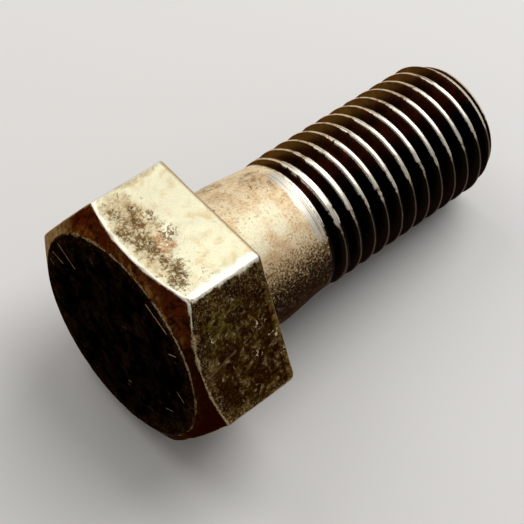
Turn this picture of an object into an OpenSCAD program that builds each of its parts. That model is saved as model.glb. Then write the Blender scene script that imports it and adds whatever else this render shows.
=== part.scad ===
// Hex head bolt with a plain shank and a right-hand coarse thread, lying at rest.
// It rests on the rear edge of one head flat and on the lowest crest near the point.
// Millimetres, +Z up, +X along the bolt towards its point, ground at Z = 0.

/* [Head] */
// Distance across the flats of the hexagon
across_flats = 30.48; // [27:0.01:36]
// Height of the head above its bearing face
head_height = 12.95; // [9:0.05:18]
// Diameter of the flat circle on top of the head
top_diameter = 28; // [24:0.1:30]
// Angle of the top chamfer, measured from the top face
chamfer_angle = 31.7; // [15:0.1:40]

/* [Shank] */
// Length from the bearing face to the end of the point
length = 45.3; // [34:0.1:70]
// Diameter of the plain body under the head
body_diameter = 19.85; // [19.6:0.05:22]
// Radius of the fillet under the head
fillet_radius = 0.9; // [0.4:0.1:2]
// Length of the straight part of the body, from the bearing face
body_length = 6.8; // [4:0.1:8]
// Length of the whole plain shank, from the bearing face
shank_length = 13.9; // [11:0.1:18]
// Diameter that the shank tapers to where it meets the thread
neck_diameter = 18.6; // [18:0.05:19.4]

/* [Thread] */
// Diameter over the crests
thread_diameter = 19.05; // [17.5:0.05:19.5]
// Distance from one crest to the next
pitch = 2.54; // [2:0.01:3.2]
// Depth of the groove, from crest to root
groove_depth = 1.63; // [1.2:0.01:1.9]
// Width of the flat on the crest
crest_width = 0.5; // [0.2:0.01:0.6]
// Width of the flat at the root
root_width = 0.41; // [0.2:0.01:0.6]
// Length over which the groove runs out into the shank
runout_length = 3.3; // [2:0.1:5]
// Length of the chamfer at the point
point_length = 2.2; // [0.6:0.1:2.5]
// Diameter of the flat end of the point
point_diameter = 16.8; // [15.5:0.1:17.2]

/* [Hidden] */
$fa = 4;
$fs = 0.3;
hex_sides = 6;
steps_per_turn = 48;

// Head
across_corners = across_flats / cos(180 / hex_sides);
top_radius = top_diameter / 2;
chamfer_spread = head_height / tan(chamfer_angle);

// Shank: it starts inside the head, and the foot of the thread starts inside the shank
body_radius = body_diameter / 2;
neck_radius = neck_diameter / 2;
seat_depth = 2;
foot_depth = 1.2;
foot_cover = 0.3;
foot_gap = 0.04;

// Thread
crest_radius = thread_diameter / 2;
point_radius = point_diameter / 2;
start_radius = min(neck_radius, crest_radius) - foot_gap;
thread_steps = floor((length - shank_length) / pitch * steps_per_turn) + steps_per_turn;
thread_turns = thread_steps / steps_per_turn;
thread_start = length - pitch * (thread_turns - 1);
runout_turns = runout_length / pitch;
lead_turns = 0.35;
flank_share = (1 - (crest_width + root_width) / pitch) / 2;
root_share = root_width / pitch;

// Lying pose: the lowest full crest is the last one before the chamfer of the point
lowest_crest = length - pitch * ceil(point_length / pitch);
tilt = atan((across_flats / 2 - crest_radius) / lowest_crest);
lift = across_flats / 2 * cos(tilt);
rear_reach = head_height * cos(tilt) + top_radius * sin(tilt);
front_reach = length * cos(tilt) + point_radius * sin(tilt);
slide = (rear_reach - front_reach) / 2;

// Smooth rise from 0 to 1
function ease(a) = a <= 0 ? 0 : a >= 1 ? 1 : a * a * (3 - 2 * a);

// Radius left by the chamfer of the point at height z
function point_limit(z) =
    let (share = (z - length + point_length) / point_length)
    crest_radius - (crest_radius - point_radius) * max(0, share);

// Near edge of the thread band of turn t: all bands lie between two planes
function edge_z(t) = min(thread_start + pitch * max(0, t - 1), length);

// Radius of the crest that closes the band of turn t
function crest_at(t) = start_radius + (crest_radius - start_radius) * ease(t);

// Radius of the root of the band of turn t: the groove opens along the run-out and closes at the point
function root_at(t) =
    crest_at(t) - groove_depth * ease(t / runout_turns) * min(1, (thread_turns - t) / lead_turns);

// Point at turn t, height z and radius r, kept inside the chamfer of the point
function on_turn(t, z, r) =
    let (a = 360 * (t - thread_turns), limited = min(r, point_limit(z)))
    [limited * cos(a), limited * sin(a), z];

// Crest edge that opens the band of turn t
function edge_point(t) = on_turn(t, edge_z(t), crest_at(t - 1));

// Point inside the band of turn t, at a share of its width
function band_point(t, share, r) = on_turn(t, edge_z(t) + share * (edge_z(t + 1) - edge_z(t)), r);

// Head: hexagon with a chamfered top, from its top at -head_height to the bearing face at 0
module hex_head() {
    translate([0, 0, -head_height])
        intersection() {
            rotate([0, 0, 180 / hex_sides])
                cylinder(d = across_corners, h = head_height, $fn = hex_sides);
            cylinder(r1 = top_radius, r2 = top_radius + chamfer_spread, h = head_height);
        }
}

// Plain shank: fillet under the head, straight body and a slight taper to the thread
module shank() {
    difference() {
        translate([0, 0, -seat_depth])
            cylinder(r = body_radius + fillet_radius, h = seat_depth + fillet_radius);
        rotate_extrude()
            translate([body_radius + fillet_radius, fillet_radius])
                circle(r = fillet_radius);
    }
    translate([0, 0, -seat_depth])
        cylinder(r = body_radius, h = seat_depth + body_length);
    translate([0, 0, body_length])
        cylinder(r1 = body_radius, r2 = neck_radius, h = thread_start - foot_cover - body_length);
}

// Thread: each turn is a band of groove and crest, and the first and last turn narrow to a plain ring
module thread() {
    n = steps_per_turn;
    last = thread_steps;
    ends = last + n;
    edges = [for (i = [0 : ends - 1]) if (i != n) edge_point(i / n)];
    inner = [
        for (i = [1 : last - 1])
            let (t = i / n)
            each [
                band_point(t, flank_share, root_at(t)),
                band_point(t, flank_share + root_share, root_at(t)),
                band_point(t, 2 * flank_share + root_share, crest_at(t))
            ]
    ];
    foot = [for (i = [0 : n - 1]) on_turn(i / n, thread_start - foot_depth, start_radius)];
    inner_at = len(edges);
    foot_at = inner_at + len(inner);

    // Number of the edge point at step i: the edge meets itself after the first turn
    function edge(i) = i < n ? i : i == n ? 0 : (i == ends ? last : i) - 1;

    // Number of point j across the band at step i
    function at(i, j) =
        j == 0 || i == 0 || i == last ? edge(i)
        : j == 4 ? edge(i + n)
        : inner_at + (i - 1) * 3 + j - 1;

    sides = [
        for (i = [0 : last - 1], j = [0 : 3])
            let (a = at(i, j), b = at(i, j + 1), c = at(i + 1, j + 1), d = at(i + 1, j))
            for (face = [[a, b, c], [a, c, d]])
                if (face[0] != face[1] && face[1] != face[2] && face[2] != face[0]) face
    ];
    stem = [for (i = [0 : n - 1]) [foot_at + i, edge(i), edge(i + 1), foot_at + (i + 1) % n]];
    foot_cap = [for (i = [0 : n - 1]) foot_at + i];
    point_cap = [for (i = [n - 1 : -1 : 0]) edge(last + i)];
    polyhedron(concat(edges, inner, foot), concat(sides, stem, [foot_cap, point_cap]), convexity = 10);
}

// The bolt, laid on the ground
module hex_bolt() {
    color("dimgray")
        translate([slide, 0, lift])
            rotate([0, 90 + tilt, 0])
                union() {
                    hex_head();
                    shank();
                    thread();
                }
}

hex_bolt();
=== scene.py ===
"""Worn hex head bolt on a pale floor: one steel piece with a hexagon head, plain shank and thread."""
import math

import bmesh
import bpy
import numpy as np
from mathutils import Matrix, Vector, noise


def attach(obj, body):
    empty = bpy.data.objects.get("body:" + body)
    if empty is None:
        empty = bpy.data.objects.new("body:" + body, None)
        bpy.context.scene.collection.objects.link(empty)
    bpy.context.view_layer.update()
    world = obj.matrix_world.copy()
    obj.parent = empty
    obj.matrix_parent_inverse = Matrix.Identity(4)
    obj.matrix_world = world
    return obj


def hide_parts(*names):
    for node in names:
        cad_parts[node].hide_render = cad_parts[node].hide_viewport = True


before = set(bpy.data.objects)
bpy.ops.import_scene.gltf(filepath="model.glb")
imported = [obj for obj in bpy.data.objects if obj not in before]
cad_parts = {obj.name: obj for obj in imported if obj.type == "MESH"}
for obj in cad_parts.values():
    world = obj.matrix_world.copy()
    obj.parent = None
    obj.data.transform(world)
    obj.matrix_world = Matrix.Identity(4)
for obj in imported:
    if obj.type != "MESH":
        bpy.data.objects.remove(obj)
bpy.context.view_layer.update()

# Sizes of the bolt in millimetres and radians, along its own axis: x towards the point, z out of the top
# flat, which is one of its sides. Half a sector is half the angle that one side takes up.
# The bearing face of the head is at x = 0.
MM = 0.001
SIDES = 6
HALF_SECTOR = math.pi / SIDES
ACROSS_FLATS = 30.48
HALF_FLATS = ACROSS_FLATS / 2
HEAD_HEIGHT = 12.95
TOP_RADIUS = 14.0
CHAMFER_ANGLE = math.radians(31.7)
LENGTH = 45.3
BODY_RADIUS = 9.925
BODY_LENGTH = 6.8
FILLET_RADIUS = 0.9
NECK_RADIUS = 9.26
SHANK_LENGTH = 13.9
CREST_RADIUS = 9.525
PITCH = 2.54
GROOVE_DEPTH = 1.63
CREST_WIDTH = 0.5
FIRST_CREST_WIDTH = 0.95
CREST_WEAR = 0.07
ROOT_WIDTH = 0.41
RUNOUT_LENGTH = 3.3
POINT_LENGTH = 2.2
POINT_RADIUS = 8.4

# The thread starts at the first of its steps past the shank, counted back from the point
SOLID_STEPS_PER_TURN = 48
THREAD_STEPS_PAST_SHANK = math.floor((LENGTH - SHANK_LENGTH) / PITCH * SOLID_STEPS_PER_TURN)
THREAD_START = LENGTH - PITCH * THREAD_STEPS_PAST_SHANK / SOLID_STEPS_PER_TURN

# Fineness of the mesh
STEPS_PER_TURN = 144
BAND_POINTS = 20
CREST_CROWDING = 0.45
CORNER_COLUMNS = 34
CORNER_CROWDING = 1.6
FILLET_RINGS = 9
SHANK_RINGS = 38
END_RING_SHARES = (1.0, 0.985, 0.9, 0.65, 0.3)
MERGE_DISTANCE = 2e-4
SLIVER_SIZE = 1e-5

# Lying pose: the bolt rests on the rear edge of the lowest flat and on the lowest crest
LOWEST_CREST = LENGTH - PITCH * math.ceil(POINT_LENGTH / PITCH)
TILT = math.atan((HALF_FLATS - CREST_RADIUS) / LOWEST_CREST)
LIFT = HALF_FLATS * math.cos(TILT)
REAR_REACH = HEAD_HEIGHT * math.cos(TILT) + TOP_RADIUS * math.sin(TILT)
FRONT_REACH = LENGTH * math.cos(TILT) + POINT_RADIUS * math.sin(TILT)
SLIDE = (REAR_REACH - FRONT_REACH) / 2
LAY_DOWN = Matrix.Translation((SLIDE, 0, LIFT)) @ Matrix.Rotation(TILT, 4, "Y")
BOLT_TO_WORLD = Matrix.Scale(MM, 4) @ LAY_DOWN


# Node trees

NUMBER = "NodeSocketFloat"
WHOLE = "NodeSocketInt"
VECTOR = "NodeSocketVector"
MATERIAL = "NodeSocketMaterial"
GEOMETRY = "NodeSocketGeometry"


class Nodes:
    """Adds nodes to a tree: each call gives back one output of the new node."""

    def __init__(self, tree):
        self.tree = tree

    def feed(self, socket, value):
        if isinstance(value, bpy.types.NodeSocket):
            self.tree.links.new(value, socket)
        else:
            socket.default_value = value

    def add(self, kind, inputs=(), output=0, **settings):
        node = self.tree.nodes.new(kind)
        for name, value in settings.items():
            setattr(node, name, value)
        for key, value in dict(inputs).items():
            self.feed(node.inputs[key], value)
        return node.outputs[output]

    def math(self, operation, *values):
        return self.add("ShaderNodeMath", enumerate(values), operation=operation)

    def vector(self, operation, *values, output=0):
        return self.add("ShaderNodeVectorMath", enumerate(values), output=output, operation=operation)

    def noise(self, place, scale, detail=3.0, roughness=0.55, distortion=0.0):
        sockets = {"Vector": place, "Scale": scale, "Detail": detail}
        return self.add("ShaderNodeTexNoise", {**sockets, "Roughness": roughness, "Distortion": distortion})

    def mix(self, share, first, second):
        return self.add("ShaderNodeMix", {0: share, 6: first, 7: second}, output=2, data_type="RGBA")

    def step(self, value, low, high, start=0.0, end=1.0):
        """Smooth step of a value between two limits."""
        sockets = {"Value": value, "From Min": low, "From Max": high, "To Min": start, "To Max": end}
        return self.add("ShaderNodeMapRange", sockets, interpolation_type="SMOOTHSTEP")

    def rest(self, mask):
        """What a mask leaves out."""
        return self.math("SUBTRACT", 1.0, mask)

    def fall(self, value, low, high):
        """Smooth step from 1 down to 0."""
        return self.rest(self.step(value, low, high))

    def line(self, value, middle, low, high):
        """Line where a value passes its middle, solid up to the low distance and gone at the high one."""
        return self.fall(self.math("ABSOLUTE", self.math("SUBTRACT", value, middle)), low, high)

    def shifted(self, value, by, reach):
        """Moves a value up and down with a mask, by half of the reach each way."""
        return self.math("MULTIPLY_ADD", self.math("SUBTRACT", by, 0.5), reach, value)


def new_tree(name, kind, inputs, outputs):
    """Makes an empty node group with named sockets, and gives it with its builder, inputs and outputs."""
    tree = bpy.data.node_groups.new(name, kind)
    for in_out, sockets in (("INPUT", inputs), ("OUTPUT", outputs)):
        for label, socket in sockets.items():
            tree.interface.new_socket(label, in_out=in_out, socket_type=socket)
    start = tree.nodes.new("NodeGroupInput")
    end = tree.nodes.new("NodeGroupOutput")
    return tree, Nodes(tree), start.outputs, end.inputs


# Thread: a strip of band points, wound around the axis

THREAD_TURNS = (LENGTH - THREAD_START) / PITCH + 1

# The middle of the last crest ends on the lowest side, given in turns from the y axis
LOWEST_SIDE = -0.25
THREAD_PHASE = CREST_WIDTH / PITCH / 2 - THREAD_TURNS + LOWEST_SIDE

# Turns over which the groove closes at the point, and between which the first, wide crests narrow
LEAD_TURNS = 0.35
NARROWING_TURNS = (0.6, 2.6)

# Rounding where the flanks meet the root and the crest, as a share of the groove's depth
ROOT_ROUNDING = 0.3
CREST_ROUNDING = 0.1

# How dense the worn dents of the crests are along the axis and around it
DENT_STRETCH = (0.35, 5.0, 5.0)

THREAD_SIZES = {
    "Turns": THREAD_TURNS, "Start": THREAD_START, "Length": LENGTH, "Pitch": PITCH, "Phase": THREAD_PHASE,
    "Crest Radius": CREST_RADIUS, "Start Radius": NECK_RADIUS, "Groove Depth": GROOVE_DEPTH,
    "Crest Width": CREST_WIDTH, "First Crest Width": FIRST_CREST_WIDTH, "Crest Wear": CREST_WEAR,
    "Root Width": ROOT_WIDTH, "Run-out Turns": RUNOUT_LENGTH / PITCH, "Lead Turns": LEAD_TURNS,
    "Point Length": POINT_LENGTH, "Point Radius": POINT_RADIUS}
THREAD_COUNTS = {"Steps": round(THREAD_TURNS * STEPS_PER_TURN), "Band Points": BAND_POINTS}


def thread_winding():
    """Node tree that winds a flat grid into the thread, with run-out, worn crests and chamfered point."""
    inputs = dict.fromkeys(THREAD_SIZES, NUMBER)
    inputs.update(dict.fromkeys(THREAD_COUNTS, WHOLE), Material=MATERIAL)
    tree, n, size, out = new_tree("Thread Winding", "GeometryNodeTree", inputs, {"Geometry": GEOMETRY})
    m = n.math
    grid = n.add("GeometryNodeMeshGrid", {
        "Size X": size["Turns"], "Size Y": 1.0,
        "Vertices X": m("ADD", size["Steps"], 1), "Vertices Y": m("ADD", size["Band Points"], 1)})
    flat = n.add("ShaderNodeSeparateXYZ", {0: n.add("GeometryNodeInputPosition")}).node
    turn = m("ADD", flat.outputs[0], m("DIVIDE", size["Turns"], 2))
    turn_before = m("SUBTRACT", turn, 1)
    even = m("ADD", flat.outputs[1], 0.5)
    wave = m("SINE", m("MULTIPLY", even, math.tau))
    share = m("MULTIPLY_ADD", wave, -CREST_CROWDING / math.tau, even)

    # Place along the axis: the first and the last band narrow to a plain ring
    def edge(turns):
        wound = m("MULTIPLY_ADD", size["Pitch"], m("MAXIMUM", turns, 0), size["Start"])
        return m("MINIMUM", wound, size["Length"])

    near = edge(turn_before)
    far = edge(turn)
    along = m("MULTIPLY_ADD", share, m("SUBTRACT", far, near), near)

    # Groove: 0 on the crest, 1 at the root, with rounded corners between the straight flanks.
    # The first crests, along the run-out, are wider.
    def half_crest(turns):
        width = n.step(turns, *NARROWING_TURNS, size["First Crest Width"], size["Crest Width"])
        return m("DIVIDE", width, m("MULTIPLY", size["Pitch"], 2))

    near_half = half_crest(turn_before)
    far_half = half_crest(turn)
    root_share = m("DIVIDE", size["Root Width"], size["Pitch"])
    both_flanks = m("SUBTRACT", m("SUBTRACT", n.rest(near_half), far_half), root_share)
    flank_share = m("DIVIDE", both_flanks, 2)
    down = m("DIVIDE", m("SUBTRACT", share, near_half), flank_share)
    up = m("DIVIDE", m("SUBTRACT", n.rest(far_half), share), flank_share)
    flanks = m("SMOOTH_MIN", m("MINIMUM", down, up), 1.0, ROOT_ROUNDING)
    groove = m("SMOOTH_MAX", flanks, 0.0, CREST_ROUNDING)

    # Radius: crest rising out of the shank, less the groove that deepens along the run-out
    rise_height = m("SUBTRACT", size["Crest Radius"], size["Start Radius"])
    before = n.step(turn_before, 0, 1)
    after = n.step(turn, 0, 1)
    risen = m("MULTIPLY_ADD", share, m("SUBTRACT", after, before), before)
    crest = m("MULTIPLY_ADD", risen, rise_height, size["Start Radius"])
    closing = m("MINIMUM", m("DIVIDE", m("SUBTRACT", size["Turns"], turn), size["Lead Turns"]), 1)
    opening = n.step(turn, 0, size["Run-out Turns"])
    depth = m("MULTIPLY", size["Groove Depth"], m("MULTIPLY", opening, closing))
    angle = m("MULTIPLY", m("ADD", turn, size["Phase"]), math.tau)
    sideways = m("COSINE", angle)
    upwards = m("SINE", angle)
    wound = n.add("ShaderNodeCombineXYZ", {0: along, 1: sideways, 2: upwards})
    patches = n.noise(n.vector("MULTIPLY", wound, DENT_STRETCH), scale=1.1, detail=4.0, roughness=0.6)
    dents = m("MULTIPLY", n.step(patches, low=0.5, high=0.75), size["Crest Wear"])
    wear = m("MULTIPLY", dents, m("MULTIPLY", risen, n.rest(groove)))
    full = m("SUBTRACT", m("SUBTRACT", crest, m("MULTIPLY", groove, depth)), wear)

    # The chamfer of the point cuts off what stands out past it
    to_end = m("SUBTRACT", along, m("SUBTRACT", size["Length"], size["Point Length"]))
    slope = m("DIVIDE", m("SUBTRACT", size["Crest Radius"], size["Point Radius"]), size["Point Length"])
    limit = m("SUBTRACT", size["Crest Radius"], m("MULTIPLY", m("MAXIMUM", to_end, 0), slope))
    radius = m("MINIMUM", full, limit)
    place = n.add("ShaderNodeCombineXYZ", {
        0: along, 1: m("MULTIPLY", radius, sideways), 2: m("MULTIPLY", radius, upwards)})
    crest_gap = m("MULTIPLY", m("MINIMUM", share, n.rest(share)), m("SUBTRACT", far, near))
    marked = n.add(
        "GeometryNodeStoreNamedAttribute", {"Geometry": grid, "Name": "crest_gap", "Value": crest_gap},
        data_type="FLOAT", domain="POINT")
    shaped = n.add("GeometryNodeSetPosition", {"Geometry": marked, "Position": place})
    real = n.add("GeometryNodeRealizeInstances", {0: shaped})
    covered = n.add("GeometryNodeSetMaterial", {"Geometry": real, "Material": size["Material"]})
    n.feed(out["Geometry"], covered)
    return tree


def thread_mesh(material):
    """Winds the thread and gives it as a plain mesh in the bolt's own millimetres."""
    holder = bpy.data.objects.new("thread_holder", bpy.data.meshes.new("thread_holder"))
    bpy.context.collection.objects.link(holder)
    tree = thread_winding()
    modifier = holder.modifiers.new("winding", "NODES")
    modifier.node_group = tree
    values = {**THREAD_SIZES, **THREAD_COUNTS, "Material": material}
    for item in tree.interface.items_tree:
        if item.in_out == "INPUT":
            modifier[item.identifier] = values[item.name]
    graph = bpy.context.evaluated_depsgraph_get()
    mesh = bpy.data.meshes.new_from_object(
        holder.evaluated_get(graph), preserve_all_data_layers=True, depsgraph=graph)
    holder.modifiers.remove(modifier)
    bpy.data.objects.remove(holder)
    return mesh


# Head: rings of points from the middle of the top face, over chamfer and flats, to the bearing face

TOP_FACE, TOP_EDGE, CHAMFER, CHAMFER_EDGE, FLAT, BEARING_EDGE, BEARING_FACE = range(7)
RING_COUNTS = (10, 4, 8, 6, 40, 4, 6)

# How far the rings of the top face, chamfer, flat and bearing face crowd towards their ends
RING_CROWDING = (2.0, 1.5, 1.8, 1.8)

# First ring of the top face, and last ring of the bearing face with its margin outside the fillet
MIDDLE_RADIUS = 0.4
FILLET_MARGIN = 0.6
BEARING_INNER = BODY_RADIUS + FILLET_RADIUS + FILLET_MARGIN

# Worn top edge, chamfer edge and bearing edge: rounding, where its unevenness is taken from the noise,
# and how much farther off than it is the edge counts for bare metal
EDGES = (TOP_EDGE, CHAMFER_EDGE, BEARING_EDGE)
EDGE_RADII = (0.35, 0.55, 0.4)
EDGE_WEAR_PLACES = ((0, 2), (3, 3), (5, 4))
EDGE_WEAR = 0.5
EDGE_DULLNESS = (1.0, 1.1, 2.6)

# Corners between the flats: rounding, its unevenness, and how far off they count for bare metal
CORNER_RADIUS = 0.75
FAR_CORNER_RADIUS = 0.3
CORNER_WEAR = 0.45
CORNER_WEAR_SEED = 1
BRIGHT_CORNER_DULLNESS = 0.42
CORNER_DULLNESS = 2.0

# Numbers of the corners that differ, and of the top flat, counted around the axis
FAR_CORNER = 1
BRIGHT_CORNER = 2
BRUISED_CORNER = 3
TOP_FLAT_SECTOR = 1

# The bruise rounds its corner more towards the bearing face
BRUISE_RADIUS = 1.2
BRUISE_REACH = 2.2

# How fast the wear of an edge changes along the axis, from corner to corner and around the axis
WEAR_ALONG = 0.55
WEAR_APART = 7.3
WEAR_AROUND = 6.0

# The chamfer is cut to the corner's rounding at this depth, below which it changes over a length
RIM_DEPTH = 2.0
RIM_BLEND = 1.0

# Forged waves of the flats: depth in millimetres, then the share and scale of the long and short ones.
# Waves and dents start and reach their full depth at two distances from an edge.
WAVE_DEPTH = 0.09
WAVE_MIDDLE = 0.5
WAVES = ((0.3, 0.22), (0.2, 0.6))
FLAT_BORDER = (0.3, 1.8)

# Shallow dents in the top flat: place along the axis and across the flat, reach and depth, in millimetres
TOP_FLAT_DENTS = (
    (-7.2, 0.4, 0.55, 0.11), (-6.6, -0.35, 0.5, 0.11), (-5.4, 0.65, 0.42, 0.08), (-7.9, -1.6, 0.6, 0.09),
    (-10.1, -0.4, 0.5, 0.06), (-9.8, -5.4, 0.6, 0.06))

# Nicks along the edges: scale and threshold of their noise, depth, and reach from the edge
NICK_SCALE = 0.8
NICK_START = 0.25
NICK_DEPTH = 0.35
NICK_REACH = 0.3


def uneven(*place, scale=1.0):
    """Smooth noise from -1 to 1 at a place in millimetres."""
    return noise.noise(Vector(place) * scale)


def rise(value, low, high):
    """Smooth rise from 0 to 1 between two values."""
    share = min(max((value - low) / (high - low), 0), 1)
    return share * share * (3 - 2 * share)


def turned(x, radius, angle):
    """Place at an angle around the axis."""
    return (x, radius * math.cos(angle), radius * math.sin(angle))


def hexagon_radius(off_corner, corner_radius):
    """Distance from the axis to a hexagon with rounded corners, at an angle away from a corner."""
    inner = HALF_FLATS - corner_radius
    centre = inner / math.cos(HALF_SECTOR)
    tangent = HALF_SECTOR - math.atan(inner * math.tan(HALF_SECTOR) / HALF_FLATS)
    if abs(off_corner) >= tangent:
        return HALF_FLATS / math.cos(HALF_SECTOR - abs(off_corner))
    sideways = centre * math.sin(off_corner)
    return centre * math.cos(off_corner) + math.sqrt(corner_radius ** 2 - sideways ** 2)


def spread(first, last, count, power):
    """Points between two ends, without the first, closer together near both ends for a power above 1."""
    share = np.linspace(0, 1, count + 1)[1:]
    bent = np.where(share < 0.5, (2 * share) ** power / 2, 1 - (2 - 2 * share) ** power / 2)
    return [first + (last - first) * s for s in bent]


def rounded_profile(corners, radii, counts, powers):
    """Points along a line with rounded corners, with the number of the stretch that each belongs to."""
    corners = [np.array(c, float) for c in corners]
    points = [corners[0]]
    stretch = [0]
    at = corners[0]
    for i, radius in enumerate(radii):
        corner = corners[i + 1]
        back = (corners[i] - corner) / np.linalg.norm(corners[i] - corner)
        ahead = (corners[i + 2] - corner) / np.linalg.norm(corners[i + 2] - corner)
        half = math.acos(np.clip(back @ ahead, -1, 1)) / 2
        reach = radius / math.tan(half)
        enter = corner + back * reach
        leave = corner + ahead * reach
        centre = corner + (back + ahead) / np.linalg.norm(back + ahead) * radius / math.sin(half)
        points += spread(at, enter, counts[2 * i], powers[i])
        stretch += [2 * i] * counts[2 * i]
        for s in np.linspace(0, 1, counts[2 * i + 1] + 1)[1:]:
            across = enter - centre + (leave - enter) * s
            points.append(centre + across / np.linalg.norm(across) * radius)
            stretch.append(2 * i + 1)
        at = leave
    points += spread(at, corners[-1], counts[-1], powers[-1])
    stretch += [2 * len(radii)] * counts[-1]
    return points, stretch


def head_columns():
    """The head's columns, each with its corner's number and its angle away from that corner."""
    shares = [(i / CORNER_COLUMNS) ** CORNER_CROWDING for i in range(CORNER_COLUMNS + 1)]
    offsets = [HALF_SECTOR * share for share in shares]
    around = [-off for off in offsets[-2:0:-1]] + offsets
    return [(corner, off) for corner in range(SIDES) for off in around]


def sector_of(corner, off):
    """Number of the flat that a column belongs to."""
    return (corner if off >= 0 else corner - 1) % SIDES


def flat_depth(sector, place, gap):
    """Depth of the forged waves and dents of a flat at a place, in millimetres."""
    waves = WAVE_MIDDLE + sum(share * uneven(*place, scale=scale) for share, scale in WAVES)
    dents = 0
    if sector == TOP_FLAT_SECTOR:
        for x, y, reach, deep in TOP_FLAT_DENTS:
            dents += deep * math.exp(-((place[0] - x) ** 2 + (place[1] - y) ** 2) / reach ** 2)
    return (WAVE_DEPTH * waves + dents) * rise(gap, *FLAT_BORDER)


def head_column(corner, off):
    """Points of one column of the head, with each one's stretch and distance to the nearest worn edge."""
    angle = corner * 2 * HALF_SECTOR + off
    corner_dullness = BRIGHT_CORNER_DULLNESS if corner == BRIGHT_CORNER else CORNER_DULLNESS

    def worn(x, radius, reach, seed):
        place = (x * WEAR_ALONG, corner * WEAR_APART + seed, angle * WEAR_AROUND)
        return radius * (1 + reach * uneven(*place))

    def rim_at(x):
        bruise = BRUISE_RADIUS * math.exp(-(x / BRUISE_REACH) ** 2) if corner == BRUISED_CORNER else 0
        plain = FAR_CORNER_RADIUS if corner == FAR_CORNER else CORNER_RADIUS
        return hexagon_radius(off, worn(x, plain, CORNER_WEAR, CORNER_WEAR_SEED) + bruise)

    rim = rim_at(-HEAD_HEIGHT + RIM_DEPTH)
    shoulder = -HEAD_HEIGHT + (rim - TOP_RADIUS) * math.tan(CHAMFER_ANGLE)
    top_corners = [(-HEAD_HEIGHT, MIDDLE_RADIUS), (-HEAD_HEIGHT, TOP_RADIUS)]
    corners = [*top_corners, (shoulder, rim), (0, rim), (0, BEARING_INNER)]
    radii = [worn(x, radius, EDGE_WEAR, seed) for radius, (x, seed) in zip(EDGE_RADII, EDGE_WEAR_PLACES)]
    points, stretch = rounded_profile(corners, radii, RING_COUNTS, RING_CROWDING)
    edges = []
    for part in EDGES:
        numbers = [i for i, own in enumerate(stretch) if own == part]
        edges.append(points[numbers[len(numbers) // 2 - 1]])
    to_corner = HALF_FLATS * (math.tan(HALF_SECTOR) - math.tan(HALF_SECTOR - abs(off)))
    placed = []
    gaps = []
    for (x, r), part in zip(points, stretch):
        place = turned(x, r, angle)
        distances = [math.dist((x, r), edge) for edge in edges]
        gap = min(distances)
        worn_gap = min(d * dullness for d, dullness in zip(distances, EDGE_DULLNESS))
        inward = 0
        if part == FLAT:
            gap = min(gap, to_corner)
            worn_gap = min(worn_gap, to_corner * corner_dullness)
            inward = flat_depth(sector_of(corner, off), place, gap) / math.cos(HALF_SECTOR - abs(off))
        if part not in (TOP_FACE, BEARING_FACE):
            nick = max(0, uneven(*place, scale=NICK_SCALE) - NICK_START)
            inward += NICK_DEPTH * nick * math.exp(-gap / NICK_REACH)
        if x > shoulder:
            reach = (r - BEARING_INNER) / (rim - BEARING_INNER)
            inward += (rim - rim_at(x)) * rise(x, shoulder, shoulder + RIM_BLEND) * reach
        placed.append(turned(x, r - inward, angle))
        gaps.append(worn_gap)
    return placed, stretch, gaps


# Shank and end: rings with the same angles as the thread

RING_ANGLES = [math.tau * (i / STEPS_PER_TURN + THREAD_PHASE) for i in range(STEPS_PER_TURN)]


def ring(x, radius):
    return [turned(x, radius, angle) for angle in RING_ANGLES]


def shank_rings():
    """Rings of the fillet, the straight body and the half straight, half smooth taper up to the thread."""
    rings = []
    for angle in np.linspace(0, math.pi / 2, FILLET_RINGS):
        out = BODY_RADIUS + FILLET_RADIUS * (1 - math.sin(angle))
        rings.append(ring(FILLET_RADIUS * (1 - math.cos(angle)), out))
    for x in np.linspace(FILLET_RADIUS, THREAD_START, SHANK_RINGS)[1:]:
        straight = max(0.0, (x - BODY_LENGTH) / (THREAD_START - BODY_LENGTH))
        smooth = rise(x, BODY_LENGTH, THREAD_START)
        rings.append(ring(x, BODY_RADIUS + (NECK_RADIUS - BODY_RADIUS) * (straight + smooth) / 2))
    return rings


# Whole bolt

HEAD_FACE, CHAMFER_FINISH, TOP_FLAT, SIDE_FLAT, SHANK_FINISH, THREAD_FINISH, END_FACE = range(7)
FAR_FROM_EDGE = 9.0

# The rounding of the far corner, this wide in radians, has the finish of the top flat
FAR_CORNER_ROUNDING = 0.03


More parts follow.
